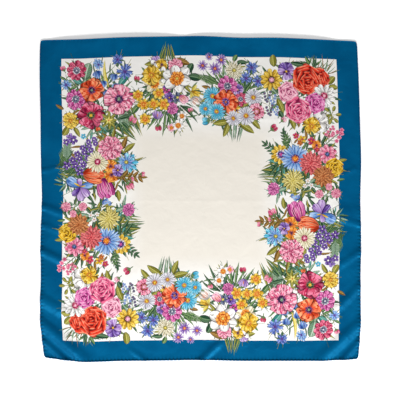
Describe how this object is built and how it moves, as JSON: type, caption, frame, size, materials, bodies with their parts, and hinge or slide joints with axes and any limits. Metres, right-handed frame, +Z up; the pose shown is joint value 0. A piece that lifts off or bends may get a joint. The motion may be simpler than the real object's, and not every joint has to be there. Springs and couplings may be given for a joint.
{
  "type": "silk square scarf",
  "caption": "Square silk twill scarf laid out flat: floral bouquets on ivory round a plain middle, a plain blue border, hand-rolled hems and soft folds towards its front edge.",
  "frame": {"origin": "middle of the scarf's outline, on the surface it lies on", "axes": "+Z up from the surface to the printed face, +Y towards the back edge, +X towards the right edge"},
  "size_m": [0.9036, 0.9168, 0.0101],
  "materials": {
    "printed_silk_twill": "printed silk twill, soft sheen: ivory field with floral bouquets, plain blue border",
    "rolled_hem_silk": "blue silk twill rolled over by hand and slip-stitched in silk thread"
  },
  "bodies": {
    "root": {"panel": "printed_silk_twill", "hem_front": "rolled_hem_silk", "hem_back": "rolled_hem_silk", "hem_left": "rolled_hem_silk", "hem_right": "rolled_hem_silk"}
  },
  "joints": []
}
